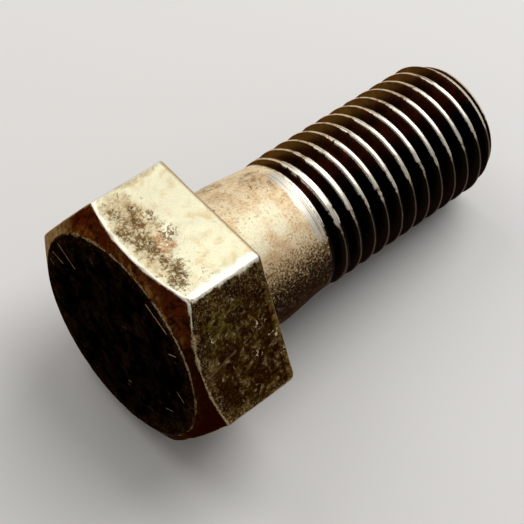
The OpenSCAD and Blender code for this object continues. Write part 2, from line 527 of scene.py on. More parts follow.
class Gathered:
    """Collects points, faces and marks of all stretches of the bolt."""

    def __init__(self):
        self.points = []
        self.gaps = []
        self.crest_gaps = []
        self.faces = []
        self.finishes = []

    def add_points(self, points, gaps=None, crest_gaps=None):
        start = len(self.points)
        nowhere_near = [FAR_FROM_EDGE] * len(points)
        self.points += [tuple(p) for p in points]
        self.gaps += nowhere_near if gaps is None else list(gaps)
        self.crest_gaps += nowhere_near if crest_gaps is None else list(crest_gaps)
        return list(range(start, start + len(points)))

    def add_face(self, corners, finish):
        self.faces.append(corners)
        self.finishes.append(finish)

    def bridge(self, first, second, finish):
        """Joins two closed rings with the same number of points."""
        count = len(first)
        for i in range(count):
            j = (i + 1) % count
            self.add_face((first[i], first[j], second[j], second[i]), finish)

    def close(self, last, middle, finish):
        """Closes a ring with a fan of triangles around a middle point."""
        tip = self.add_points([middle])[0]
        for i, here in enumerate(last):
            self.add_face((here, last[(i + 1) % len(last)], tip), finish)

    def zip_rings(self, first, second, finish):
        """Joins two closed rings with different numbers of points by triangles, in the order of angles."""
        def around(index):
            return math.atan2(self.points[index][2], self.points[index][1]) % math.tau

        first = sorted(first, key=around)
        second = sorted(second, key=around)
        a = 0
        b = 0
        while a < len(first) or b < len(second):
            here_a = first[a % len(first)]
            here_b = second[b % len(second)]
            next_a = around(here_a) + math.tau * (a // len(first))
            next_b = around(here_b) + math.tau * (b // len(second))
            if b >= len(second) or (a < len(first) and next_a <= next_b):
                a += 1
                self.add_face((here_a, first[a % len(first)], here_b), finish)
            else:
                b += 1
                self.add_face((here_b, here_a, second[b % len(second)]), finish)


def head_finish(part, corner, off):
    """Finish of the faces of one stretch of the head."""
    if part in (TOP_FACE, TOP_EDGE):
        return HEAD_FACE
    if part == CHAMFER:
        return CHAMFER_FINISH
    rounding = corner == FAR_CORNER and abs(off) < FAR_CORNER_ROUNDING
    on_top = rounding or sector_of(corner, off) == TOP_FLAT_SECTOR
    return TOP_FLAT if on_top and part != BEARING_FACE else SIDE_FLAT


def gather_bolt(thread):
    """All points and faces of the bolt in its own millimetres."""
    bolt = Gathered()
    columns = head_columns()
    numbers = []
    for corner, off in columns:
        placed, stretches, gaps = head_column(corner, off)
        numbers.append(bolt.add_points(placed, gaps))

    # The half of the chamfer's outer edge that is next to the chamfer has its finish
    edge_rows = [k for k, part in enumerate(stretches) if part == CHAMFER_EDGE]
    outer_rows = edge_rows[:len(edge_rows) // 2]
    face_parts = [CHAMFER if k in outer_rows else part for k, part in enumerate(stretches)]
    for i, (corner, off) in enumerate(columns):
        here = numbers[i]
        there = numbers[(i + 1) % len(columns)]
        for k, part in enumerate(face_parts[1:]):
            bolt.add_face((here[k], here[k + 1], there[k + 1], there[k]), head_finish(part, corner, off))
    bolt.close([column[0] for column in numbers], (-HEAD_HEIGHT, 0, 0), HEAD_FACE)

    rings = [bolt.add_points(points) for points in shank_rings()]
    bolt.zip_rings([column[-1] for column in numbers], rings[0], SIDE_FLAT)
    for first, second in zip(rings, rings[1:]):
        bolt.bridge(first, second, SHANK_FINISH)

    crest_gaps = np.empty(len(thread.vertices), np.float32)
    thread.attributes["crest_gap"].data.foreach_get("value", crest_gaps)
    base = len(bolt.points)
    bolt.add_points([v.co for v in thread.vertices], crest_gaps=crest_gaps)
    for face in thread.polygons:
        bolt.add_face(tuple(base + i for i in face.vertices), THREAD_FINISH)

    last = [bolt.add_points(ring(LENGTH, POINT_RADIUS * share)) for share in END_RING_SHARES]
    for first, second in zip(last, last[1:]):
        bolt.bridge(first, second, END_FACE)
    bolt.close(last[-1], (LENGTH, 0, 0), END_FACE)
    return bolt


def make_bolt(materials):
    """The bolt as one closed mesh, lying in the frame."""
    thread = thread_mesh(materials[THREAD_FINISH])
    gathered = gather_bolt(thread)
    bpy.data.meshes.remove(thread)
    mesh = bpy.data.meshes.new("bolt")
    mesh.from_pydata(gathered.points, [], gathered.faces)
    for name, values in (("edge_gap", gathered.gaps), ("crest_gap", gathered.crest_gaps)):
        mesh.attributes.new(name, "FLOAT", "POINT").data.foreach_set("value", np.array(values, np.float32))
    for material in materials:
        mesh.materials.append(material)
    mesh.polygons.foreach_set("material_index", gathered.finishes)
    work = bmesh.new()
    work.from_mesh(mesh)
    bmesh.ops.remove_doubles(work, verts=work.verts, dist=MERGE_DISTANCE)
    bmesh.ops.dissolve_degenerate(work, edges=work.edges, dist=SLIVER_SIZE)
    bmesh.ops.recalc_face_normals(work, faces=work.faces)
    for face in work.faces:
        face.smooth = True
    work.to_mesh(mesh)
    work.free()
    mesh.transform(BOLT_TO_WORLD)
    mesh.update()
    bolt = bpy.data.objects.new("bolt", mesh)
    bpy.context.collection.objects.link(bolt)
    return bolt


# Effects that more than one finish uses

# Bare metal along an edge: its least share of the set width, and the share of it that is fully bare
LEAST_WEAR = 0.02
BARE_SHARE = 0.4

# Fine scratches: how much they are drawn out, and the limits of the noise between which they appear.
# The low limit is for a share of 0, and changes with the share.
SCRATCH_STRETCH = (0.09, 1.0, 1.0)
SCRATCH_LOW = 0.75
SCRATCH_LOW_CHANGE = -0.4
SCRATCH_HIGH = 0.78

# Share of a single scratch's width that is fully bare
SCRATCH_CORE = 0.5


def edge_wear():
    """Bare metal along worn edges, with a ragged border."""
    inputs = {"Place": VECTOR, "Gap": NUMBER, "Width": NUMBER, "Ragged": NUMBER}
    tree, n, given, out = new_tree("Edge Wear", "ShaderNodeTree", inputs, {"Bare": NUMBER})
    broad = n.noise(given["Place"], scale=0.6)
    fine = n.noise(given["Place"], scale=3.5, detail=4.0, roughness=0.65)
    shift = n.shifted(n.shifted(0.0, by=broad, reach=3.0), by=fine, reach=1.6)
    share = n.math("MAXIMUM", n.math("MULTIPLY_ADD", shift, given["Ragged"], 1.0), LEAST_WEAR)
    reach = n.math("MULTIPLY", given["Width"], share)
    n.feed(out["Bare"], n.fall(given["Gap"], low=n.math("MULTIPLY", reach, BARE_SHARE), high=reach))
    return tree


def mottling():
    """Patches of a given size with cloudy borders."""
    inputs = {"Place": VECTOR, "Size": NUMBER, "Seed": NUMBER, "Low": NUMBER, "High": NUMBER}
    tree, n, given, out = new_tree("Mottling", "ShaderNodeTree", inputs, {"Patch": NUMBER})
    place = n.vector("ADD", given["Place"], given["Seed"])
    scale = n.math("DIVIDE", 1.0, given["Size"])
    cloud = n.noise(place, scale, detail=6.0, roughness=0.62, distortion=0.5)
    n.feed(out["Patch"], n.step(cloud, given["Low"], given["High"]))
    return tree


def blot():
    """One stain at a place of its own, with a ragged border."""
    inputs = {"Place": VECTOR, "Middle": VECTOR, "Reach": VECTOR, "Ragged": NUMBER}
    tree, n, given, out = new_tree("Blot", "ShaderNodeTree", inputs, {"Stain": NUMBER})
    away = n.vector("SUBTRACT", given["Place"], given["Middle"])
    far = n.vector("LENGTH", n.vector("DIVIDE", away, given["Reach"]), output="Value")
    border = n.noise(given["Place"], scale=1.3, detail=6.0, roughness=0.68, distortion=0.4)
    n.feed(out["Stain"], n.fall(n.shifted(far, by=border, reach=given["Ragged"]), low=0.45, high=1.05))
    return tree


def scratches():
    """Short fine lines along one direction."""
    inputs = {"Place": VECTOR, "Turn": VECTOR, "Size": NUMBER, "Share": NUMBER}
    tree, n, given, out = new_tree("Scratches", "ShaderNodeTree", inputs, {"Lines": NUMBER})
    way = {"Vector": given["Place"], "Rotation": given["Turn"]}
    turned_place = n.add("ShaderNodeVectorRotate", way, rotation_type="EULER_XYZ")
    drawn = n.vector("MULTIPLY", turned_place, SCRATCH_STRETCH)
    scale = n.math("DIVIDE", 1.0, given["Size"])
    wave = n.noise(drawn, scale, detail=2.0, roughness=0.5, distortion=0.25)
    line = n.line(wave, middle=0.5, low=0.004, high=0.016)
    where = n.noise(given["Place"], scale=0.45, detail=3.0, roughness=0.6)
    low = n.math("MULTIPLY_ADD", given["Share"], SCRATCH_LOW_CHANGE, SCRATCH_LOW)
    n.feed(out["Lines"], n.math("MULTIPLY", line, n.step(where, low, SCRATCH_HIGH)))
    return tree


def scratch_mark():
    """One scratch between two places, thinning out unevenly."""
    inputs = {"Place": VECTOR, "Start": VECTOR, "End": VECTOR, "Width": NUMBER}
    tree, n, given, out = new_tree("Scratch Mark", "ShaderNodeTree", inputs, {"Mark": NUMBER})
    way = n.vector("SUBTRACT", given["End"], given["Start"])
    off = n.vector("SUBTRACT", given["Place"], given["Start"])
    length = n.vector("DOT_PRODUCT", way, way, output="Value")
    share = n.math("DIVIDE", n.vector("DOT_PRODUCT", off, way, output="Value"), length)
    share = n.math("MINIMUM", n.math("MAXIMUM", share, 0.0), 1.0)
    nearest = n.add("ShaderNodeVectorMath", {0: way, "Scale": share}, operation="SCALE")
    far = n.vector("LENGTH", n.vector("SUBTRACT", off, nearest), output="Value")
    thinning = n.step(n.noise(given["Place"], scale=1.8), low=0.3, high=0.7, start=0.25, end=0.75)
    reach = n.math("MULTIPLY", given["Width"], thinning)
    n.feed(out["Mark"], n.fall(far, low=n.math("MULTIPLY", reach, SCRATCH_CORE), high=reach))
    return tree


def fine_grain():
    """Fine unevenness of steel, for its roughness and relief."""
    inputs = {"Place": VECTOR, "Size": NUMBER}
    tree, n, given, out = new_tree("Fine Grain", "ShaderNodeTree", inputs, {"Grain": NUMBER})
    scale = n.math("DIVIDE", 1.0, given["Size"])
    n.feed(out["Grain"], n.noise(given["Place"], scale, detail=4.0, roughness=0.7))
    return tree


# Finishes

class Finish(Nodes):
    """Nodes of one finish, with the place on the bolt in its own millimetres and its grain."""

    effects = {}

    def __init__(self, name, grain_size):
        self.material = bpy.data.materials.new(name)
        self.material.use_nodes = True
        super().__init__(self.material.node_tree)
        self.shader = self.tree.nodes["Principled BSDF"]
        seen = self.add("ShaderNodeTexCoord", output="Object")
        pose = {"Location": (SLIDE * MM, 0, LIFT * MM), "Rotation": (0, TILT, 0), "Scale": (MM, MM, MM)}
        self.place = self.add("ShaderNodeMapping", {"Vector": seen, **pose}, vector_type="TEXTURE")
        self.along, self.across, self.up = self.add("ShaderNodeSeparateXYZ", {0: self.place}).node.outputs
        upwards = self.math("MULTIPLY", self.up, self.up)
        self.radius = self.math("SQRT", self.math("MULTIPLY_ADD", self.across, self.across, upwards))
        self.grain = self.effect(fine_grain, Size=grain_size)

    def turned_to(self, degrees):
        """How far the surface looks one way around the axis: 1 that way, 0 across it, -1 the other way."""
        turn = math.radians(degrees)
        sideways = self.math("MULTIPLY", self.across, math.cos(turn))
        towards = self.math("MULTIPLY_ADD", self.up, math.sin(turn), sideways)
        return self.math("DIVIDE", towards, self.radius)

    def mark(self, name):
        """A value stored in the mesh."""
        return self.add("ShaderNodeAttribute", output="Fac", attribute_name=name)

    def effect(self, make, **inputs):
        """Places one of the shared effects, with this finish's own values."""
        if make not in self.effects:
            self.effects[make] = make()
        node = self.tree.nodes.new("ShaderNodeGroup")
        node.node_tree = self.effects[make]
        for name, value in {"Place": self.place, **inputs}.items():
            self.feed(node.inputs[name], value)
        return node.outputs[0]

    def patches(self, size, seed, low, high):
        """Mottling with patches of a size in millimetres, where its cloud rises between two values."""
        return self.effect(mottling, Size=size, Seed=seed, Low=low, High=high)

    def worn_edges(self, width, ragged):
        """Bare metal along the edges of the head."""
        return self.effect(edge_wear, Gap=self.mark("edge_gap"), Width=width, Ragged=ragged)

    def spots(self, where, rows, ragged):
        """Stains from a list, each set in its place on the bolt by a function."""
        return self.any_of(*(self.effect(blot, **where(*row), Ragged=ragged) for row in rows))

    def grain_above(self, low, high):
        """Where the grain is high."""
        return self.step(self.grain, low, high)

    def all_of(self, *masks):
        result = masks[0]
        for mask in masks[1:]:
            result = self.math("MULTIPLY", result, mask)
        return result

    def any_of(self, *masks):
        result = masks[0]
        for mask in masks[1:]:
            result = self.math("MAXIMUM", result, mask)
        return result

    def part_of(self, mask, share):
        return self.math("MULTIPLY", mask, share)

    def blend(self, mask, outside, inside):
        """Goes from one number outside a mask to another inside it."""
        return self.add("ShaderNodeMix", {0: mask, 2: outside, 3: inside}, data_type="FLOAT")

    def coats(self, colour, *coats):
        """Lays coats over a colour in turn: each has a mask, the share that covers, and its colour."""
        for mask, cover, coat in coats:
            colour = self.mix(self.part_of(mask, cover), colour, coat)
        return colour

    def roughness(self, mask, outside, inside, grit):
        """Roughness outside and inside a mask, to which the grain adds its part."""
        return self.math("ADD", self.blend(mask, outside, inside), self.part_of(self.grain, grit))

    def finish(self, colour, roughness, metallic, height, depth, sheen=()):
        """Feeds the shader: depth is the relief of the height in millimetres, sheen holds plain values."""
        bump = self.add("ShaderNodeBump", {"Height": height, "Strength": 1.0, "Distance": depth * MM})
        fed = {"Base Color": colour, "Roughness": roughness, "Metallic": metallic, "Normal": bump}
        fed.update(sheen)
        for name, value in fed.items():
            self.feed(self.shader.inputs[name], value)
        return self.material


def tone(red, green, blue):
    return (red, green, blue, 1.0)


BARE_STEEL = tone(0.8, 0.77, 0.64)
CREAM_STEEL = tone(0.63, 0.6, 0.43)
WARM_STEEL = tone(0.55, 0.45, 0.26)
STAIN_BROWN = tone(0.4, 0.265, 0.12)
DARK_STAIN = tone(0.2, 0.118, 0.036)
DEEP_STAIN = tone(0.085, 0.045, 0.011)
RUST_ORANGE = tone(0.47, 0.215, 0.075)
RUST_BROWN = tone(0.23, 0.1, 0.035)
OLIVE_BROWN = tone(0.047, 0.02, 0.004)
OLIVE_GREEN = tone(0.15, 0.122, 0.026)
PALE_OLIVE = tone(0.19, 0.118, 0.029)
BLACK_BROWN = tone(0.012, 0.003, 0.0006)
RED_BLACK = tone(0.02, 0.004, 0.0012)
WORN_TAN = tone(0.48, 0.36, 0.205)
RED_BROWN = tone(0.09, 0.0155, 0.004)
DARK_RED = tone(0.026, 0.005, 0.002)
GOLD_BROWN = tone(0.32, 0.155, 0.036)
OXIDE_AND_SHADE_BLACK = tone(0.0018, 0.0015, 0.0014)
FACE_BROWN = tone(0.03, 0.0165, 0.009)
TAN_STEEL = tone(0.74, 0.525, 0.3)
PALE_TAN = tone(0.88, 0.72, 0.47)
HIGHLIGHT_CREAM = tone(0.9, 0.86, 0.62)
DULL_BROWN = tone(0.18, 0.1, 0.032)
# Painted shade under the shank
UNDER_SHADE_BROWN = tone(0.009, 0.0034, 0.001)
PIT_BROWN = tone(0.06, 0.038, 0.02)
BAND_STEEL = tone(0.72, 0.68, 0.59)
FLANK_BLACK = tone(0.004, 0.0022, 0.0013)
# Red and olive of the flanks' painted reflection
FLANK_RED = tone(0.1, 0.029, 0.009)
FLANK_OLIVE = tone(0.15, 0.075, 0.012)
# Crest colours: tan on the lit side, dark below as painted shade, burnished where the highlight is painted
CREST_TAN = tone(0.78, 0.6, 0.39)
CREST_DARK = tone(0.09, 0.07, 0.045)
BURNISHED_HIGHLIGHT = tone(0.86, 0.81, 0.7)
END_BROWN = tone(0.05, 0.024, 0.009)

# Glancing reflections: tinted on the brown stretches, weak on the shank, near black on the head face to
# keep its painted shade dark
WARM_SHEEN = {"Specular Tint": tone(0.55, 0.4, 0.25)}
DULL_SHEEN = {**WARM_SHEEN, "Specular IOR Level": 0.25}
BLACK_SHEEN = {"Specular Tint": tone(0.2, 0.16, 0.12)}

# Sides of the bolt, as angles around the axis in degrees: the lit side, painted pale with painted shade
# away from it, the side of the painted highlight, the side of the flanks' painted reflection, the chamfer's
# side painted black as shade, and tan on the far side of the chamfer
LIT_SIDE = 70
HIGHLIGHT_SIDE = 105
REFLECTION_SIDE = 45
SHADED_SIDE = 190
TAN_SIDE = 10

# Corner between the top flat and the near flat: its side, and its bright tip at the chamfer. Its bare metal
# is real edge wear, widened towards the tip as a painted highlight.
BRIGHT_CORNER_SIDE = 120
BRIGHT_CORNER_TIP = (-10.7, -8.8, HALF_FLATS)
TIP_RAGGED = 0.8

# Marks on the top flat, each with its place along the axis and across the flat, and its reach both ways,
# in millimetres: dark blots, brown washes, clear patches in them, rust, and where rust veins run
TOP_FLAT_BLOTS = (
    (-7.4, 5.0, 1.0, 1.2), (-8.5, 3.5, 1.1, 1.5), (-9.8, 5.4, 1.0, 1.4), (-10.4, 3.0, 1.1, 1.9),
    (-9.6, 0.6, 1.7, 2.1), (-9.4, -1.0, 1.3, 1.2), (-9.0, -4.2, 1.5, 2.0), (-9.8, -5.6, 1.4, 1.7),
    (-9.2, -2.7, 0.9, 1.2))
TOP_FLAT_WASHES = (
    (-8.6, 6.4, 2.6, 2.6), (-9.6, 0.0, 2.3, 7.4), (-7.6, 2.8, 1.7, 3.2), (-4.5, 8.6, 4.0, 0.9))
TOP_FLAT_CLEAR = ((-6.8, 3.4, 0.9, 1.0), (-6.3, 0.3, 0.8, 0.9))
TOP_FLAT_RUST = ((-7.9, -1.3, 0.9, 1.2), (-7.6, 0.0, 0.8, 1.0), (-7.1, -1.5, 0.7, 0.8))
TOP_FLAT_VEINS = ((-6.4, 0.2, 1.5, 1.7), (-6.7, 3.3, 1.3, 1.3), (-8.7, 2.4, 0.9, 1.4))
TOP_FLAT_MARK_DEPTH = 9.0


def on_top_flat(x, y, along, across):
    return {"Middle": (x, y, HALF_FLATS), "Reach": (along, across, TOP_FLAT_MARK_DEPTH)}


def top_flat_finish():
    """Cream steel, lighter than the other flats partly as painted highlight and partly as wear, with brown
    stains along the chamfer, rust veins and bare edges.
    """
    f = Finish("top_flat_steel", grain_size=0.2)
    cloud = f.patches(size=2.4, seed=4, low=0.46, high=0.68)
    soiled = f.rest(f.spots(on_top_flat, TOP_FLAT_CLEAR, ragged=1.2))
    washes = f.all_of(f.spots(on_top_flat, TOP_FLAT_WASHES, ragged=1.7),
                      f.patches(size=0.6, seed=2, low=0.22, high=0.58), soiled)
    stains = f.all_of(f.spots(on_top_flat, TOP_FLAT_BLOTS, ragged=2.6),
                      f.patches(size=0.4, seed=7, low=0.34, high=0.54), soiled)
    cores = f.all_of(stains, f.patches(size=0.7, seed=31, low=0.46, high=0.6))
    rust = f.all_of(f.spots(on_top_flat, TOP_FLAT_RUST, ragged=1.8),
                    f.patches(size=0.36, seed=3, low=0.36, high=0.54))
    winding = f.patches(size=0.9, seed=14, low=0.2, high=0.8)
    veins = f.all_of(f.spots(on_top_flat, TOP_FLAT_VEINS, ragged=1.5),
                     f.line(winding, middle=0.5, low=0.03, high=0.13))
    specks = f.all_of(f.patches(size=0.4, seed=5, low=0.6, high=0.68),
                      f.step(f.along, low=-3.5, high=-7.5))
    bright_specks = f.all_of(f.patches(size=0.38, seed=21, low=0.55, high=0.61), f.any_of(stains, washes))
    lines = f.effect(scratches, Turn=(0, 0, 0.9), Size=0.8, Share=0.5)
    rear = f.fall(f.math("SUBTRACT", f.part_of(f.grain, 0.8), f.along), low=0.65, high=1.05)
    bare = f.worn_edges(width=0.55, ragged=0.8)
    clean = f.rest(bare)
    colour = f.coats(
        f.mix(cloud, CREAM_STEEL, WARM_STEEL),
        (f.grain_above(low=0.42, high=0.8), 0.3, STAIN_BROWN),
        (washes, 0.7, STAIN_BROWN),
        (stains, 0.95, DARK_STAIN),
        (cores, 0.8, DEEP_STAIN),
        (specks, 0.7, DARK_STAIN),
        (rust, 0.7, RUST_ORANGE),
        (veins, 0.85, RUST_BROWN),
        (f.any_of(lines, bright_specks), 0.75, CREAM_STEEL),
        (bare, 1.0, BARE_STEEL),
        (rear, 0.8, STAIN_BROWN))
    dirt = f.all_of(f.any_of(stains, f.part_of(washes, 0.5), rust, veins, rear), clean)
    rough = f.roughness(dirt, outside=0.43, inside=0.62, grit=0.12)
    metallic = f.blend(dirt, outside=0.95, inside=0.88)
    low = f.any_of(f.part_of(specks, 0.5), f.part_of(veins, 0.45),
                   f.part_of(stains, 0.12), f.part_of(lines, 0.4))
    height = f.math("SUBTRACT", f.part_of(f.grain, 0.3), f.all_of(low, clean))
    return f.finish(colour, rough, metallic, height, depth=0.05)


# Marks on the near flat: place along the axis and down the flat, and reach, in millimetres
NEAR_FLAT_OLIVE = ((-8.5, -4.5, 2.4), (-6.1, -2.4, 1.7), (-9.8, -2.2, 1.6), (-5.2, -5.0, 1.2))
NEAR_FLAT_DARK = (
    (-5.2, -6.9, 1.7), (-8.0, 0.2, 2.2), (-3.0, -4.4, 1.3),
    (-9.2, 4.4, 2.6), (-3.6, 5.0, 2.2), (-11.0, -5.6, 1.4))
NEAR_FLAT_GLINTS = (
    (-2.8, -0.9, 1.1), (-4.1, 2.3, 1.2), (-0.8, 4.1, 0.8), (-1.3, 1.4, 0.9), (-9.5, -3.0, 0.9))
NEAR_FLAT_SCRATCH = ((-11.3, 1.4), (-6.9, 0.4))
NEAR_FLAT_TURN = math.radians(150)

# Dark line around the flats, near the bearing face
DARK_LINE_PLACE = -1.2


def near_flat_place(x, down):
    middle = turned(x, HALF_FLATS, NEAR_FLAT_TURN)
    return (x, middle[1] - down * math.sin(NEAR_FLAT_TURN), middle[2] + down * math.cos(NEAR_FLAT_TURN))


def on_near_flat(x, down, reach):
    return {"Middle": near_flat_place(x, down), "Reach": (reach, reach, reach)}


def bright_tip(f, reach):
    """The part of a finish that is near the tip of the bright corner."""
    return f.effect(blot, Middle=BRIGHT_CORNER_TIP, Reach=(reach, reach, reach), Ragged=TIP_RAGGED)


def side_flat_finish():
    """Dark brown scale with black clouds, rubbed olive patches, small glints and thin worn edges."""
    f = Finish("side_flat_steel", grain_size=0.24)
    pale = f.patches(size=1.3, seed=1, low=0.48, high=0.6)
    dark = f.any_of(f.patches(size=2.0, seed=9, low=0.5, high=0.6),
                    f.part_of(f.spots(on_near_flat, NEAR_FLAT_DARK, ragged=2.0), 0.8))
    green = f.all_of(f.spots(on_near_flat, NEAR_FLAT_OLIVE, ragged=2.0),
                     f.patches(size=0.6, seed=24, low=0.36, high=0.56))
    small = f.patches(size=0.7, seed=17, low=0.44, high=0.6)
    rubbed = f.all_of(f.patches(size=0.8, seed=6, low=0.52, high=0.66), pale)
    clusters = f.any_of(f.part_of(pale, 0.45), f.spots(on_near_flat, NEAR_FLAT_GLINTS, ragged=1.5))
    glints = f.all_of(f.patches(size=0.35, seed=2, low=0.57, high=0.63), clusters)
    start, end = (near_flat_place(*place) for place in NEAR_FLAT_SCRATCH)
    scratch = f.effect(scratch_mark, Start=start, End=end, Width=0.4)
    lines = f.any_of(f.effect(scratches, Turn=(0.5, 0.4, 1.0), Size=0.7, Share=0.45),
                     f.part_of(scratch, 0.5))
    haze = f.worn_edges(width=2.2, ragged=0.9)
    bare = f.all_of(f.worn_edges(width=0.32, ragged=1.4), f.grain_above(low=0.34, high=0.52))
    # Bare corner and tip: real edge wear, widened as a painted highlight
    bright_corner = f.all_of(f.worn_edges(width=0.25, ragged=1.1),
                             f.step(f.turned_to(BRIGHT_CORNER_SIDE), low=0.975, high=0.99))
    tip = f.all_of(bright_tip(f, reach=2.6), f.worn_edges(width=0.26, ragged=0.8))
    strip = f.step(f.math("MULTIPLY_ADD", f.grain, 0.3, f.along), low=-1.0, high=-0.75)
    dark_line = f.line(f.along, DARK_LINE_PLACE, low=0.05, high=0.25)
    colour = f.coats(
        OLIVE_BROWN,
        (pale, 0.8, PALE_OLIVE),
        (strip, 0.5, PALE_OLIVE),
        (green, 0.8, OLIVE_GREEN),
        (f.any_of(dark, f.part_of(dark_line, 0.8)), 0.9, RED_BLACK),
        (small, 0.8, BLACK_BROWN),
        (f.grain_above(low=0.52, high=0.72), 0.55, PALE_OLIVE),
        (rubbed, 0.3, WORN_TAN),
        (lines, 0.4, WORN_TAN),
        (glints, 0.85, PALE_TAN),
        (f.all_of(haze, f.grain_above(low=0.5, high=0.68)), 0.5, WORN_TAN),
        (bare, 1.0, WORN_TAN),
        (f.any_of(bright_corner, tip), 1.0, BARE_STEEL))
    shiny = f.any_of(bare, glints, f.part_of(rubbed, 0.4))
    rough = f.roughness(shiny, outside=0.44, inside=0.36, grit=0.22)
    hills = f.math("MULTIPLY_ADD", f.grain, 0.6, f.part_of(pale, 0.4))
    height = f.math("ADD", hills, f.math("MULTIPLY_ADD", small, -0.3, f.part_of(glints, 0.4)))
    return f.finish(colour, rough, metallic=1.0, height=height, depth=0.08, sheen=WARM_SHEEN)


# Golden streaks of the chamfer: they fade out between these distances from its inner circle
STREAK_START = 0.1
STREAK_END = 1.5


def chamfer_finish():
    """Dark red-brown chamfer with golden streaks along its inner circle, a side painted black as shade and
    a tan side.
    """
    f = Finish("chamfer_steel", grain_size=0.25)
    inner = f.fall(f.radius, low=TOP_RADIUS + STREAK_START, high=TOP_RADIUS + STREAK_END)
    streaks = f.all_of(inner, f.patches(size=1.1, seed=3, low=0.46, high=0.66))
    cloud = f.patches(size=1.3, seed=8, low=0.42, high=0.62)
    # Painted shade: the chamfer is painted black on its lower, near side
    shaded = f.step(f.shifted(f.turned_to(SHADED_SIDE), by=cloud, reach=0.2), low=0.25, high=0.7)
    tan = f.all_of(f.step(f.turned_to(TAN_SIDE), low=0.75, high=0.97),
                   f.patches(size=0.9, seed=15, low=0.3, high=0.6))
    bare = f.all_of(f.worn_edges(width=0.2, ragged=1.6), f.grain_above(low=0.36, high=0.56))
    tip = f.all_of(bright_tip(f, reach=2.0), f.worn_edges(width=0.4, ragged=0.6))
    colour = f.coats(
        f.mix(cloud, RED_BROWN, DARK_RED),
        (streaks, 0.9, GOLD_BROWN),
        (f.grain_above(low=0.5, high=0.8), 0.6, GOLD_BROWN),
        (shaded, 0.9, BLACK_BROWN),
        (tan, 0.7, WORN_TAN),
        (bare, 0.8, WORN_TAN),
        (tip, 1.0, BARE_STEEL))
    rough = f.roughness(streaks, outside=0.42, inside=0.34, grit=0.2)
    return f.finish(colour, rough, metallic=1.0, height=f.grain, depth=0.05, sheen=WARM_SHEEN)


# Scratches on the head face: both ends across and up, and width, in millimetres
FACE_SCRATCHES = (
    ((11.9, 5.9), (8.6, 4.4), 0.17), ((12.9, 3.3), (10.9, 3.1), 0.15),
    ((13.4, 1.4), (12.7, 1.0), 0.12), ((-4.2, 11.4), (-7.9, 9.9), 0.26),
    ((-8.6, 6.6), (-9.8, 7.4), 0.24), ((-10.7, 1.0), (-12.1, 0.3), 0.15),
    ((-9.3, -4.5), (-10.5, -3.8), 0.12), ((-2.4, -6.9), (-2.8, -6.8), 0.2))


def end_scratches(f, slant, size, share):
    """Fine scratches across a face at the end of the axis, at a slant in radians."""
    return f.effect(scratches, Turn=(slant, 0, math.pi / 2), Size=size, Share=share)


def head_face_finish():
    """Near-black face, dark partly as blackened steel and partly as painted shade, with faint brown clouds,
    a few scratches and a worn rim.
    """
    f = Finish("head_face_steel", grain_size=0.35)
    cloud = f.patches(size=2.6, seed=5, low=0.4, high=0.66)
    pits = f.patches(size=0.8, seed=12, low=0.46, high=0.6)
    haze = f.all_of(f.worn_edges(width=2.4, ragged=1.2), f.grain_above(low=0.42, high=0.66))
    strokes = []
    for start, end, width in FACE_SCRATCHES:
        ends = {"Start": (-HEAD_HEIGHT, *start), "End": (-HEAD_HEIGHT, *end)}
        strokes.append(f.effect(scratch_mark, **ends, Width=width))
    hairlines = f.any_of(end_scratches(f, slant=0.6, size=0.9, share=0.42),
                         end_scratches(f, slant=-0.8, size=0.7, share=0.36))
    lines = f.any_of(*strokes, f.part_of(hairlines, 0.4))
    # Bare rim mostly on the highlight side: real wear with a painted highlight
    bare = f.all_of(f.worn_edges(width=0.2, ragged=2.2), f.grain_above(low=0.36, high=0.56),
                    f.step(f.turned_to(HIGHLIGHT_SIDE), low=0.2, high=0.9, start=0.12))
    colour = f.coats(
        f.mix(cloud, OXIDE_AND_SHADE_BLACK, FACE_BROWN),
        (pits, 0.75, OXIDE_AND_SHADE_BLACK),
        (haze, 0.16, GOLD_BROWN),
        (lines, 0.75, WORN_TAN),
        (bare, 0.7, WORN_TAN))
    rough = f.roughness(bare, outside=0.5, inside=0.35, grit=0.2)
    height = f.math("SUBTRACT", f.part_of(f.grain, 0.6), f.part_of(lines, 0.6))
    return f.finish(colour, rough, metallic=1.0, height=height, depth=0.04, sheen=BLACK_SHEEN)


# Fleck clusters, cream patches of painted highlight and brown patches on the shank: place along the axis in
# millimetres, angle around it in degrees, and reach
SHANK_FLECKS = (
    (7.3, 81, 1.2), (5.4, 98, 0.9), (3.75, 78, 1.2), (8.0, 98, 0.8), (5.6, 66, 1.6), (9.6, 76, 1.0))
SHANK_HIGHLIGHTS = ((5.2, 104, 2.6), (8.6, 100, 2.0), (4.0, 116, 2.2), (8.4, 113, 1.6))
SHANK_PATCHES = ((10.7, 62, 2.3), (11.7, 80, 1.5), (6.5, 45, 2.2), (9.0, 215, 3.5), (5.0, 290, 3.5))

# Burnished band before the thread, bare only on the side of the painted highlight: where it starts along
# the axis, and how far its border wanders
BAND_START = 12.1
BAND_WANDER = 0.5

# How dense the rings left by turning are along the axis and around it, and on the end face
TURNING_STRETCH = (9.0, 0.12, 0.12)
END_RING_DENSITY = 4.0
END_RING_UNEVENNESS = 0.08


def on_shank(x, degrees, reach):
    return {"Middle": turned(x, BODY_RADIUS, math.radians(degrees)), "Reach": (reach, reach, reach)}


def turned_rings(f, stretched):
    """Fine rings left by turning, from places drawn out along the cut."""
    return f.noise(stretched, scale=1.0, detail=3.0, roughness=0.6)


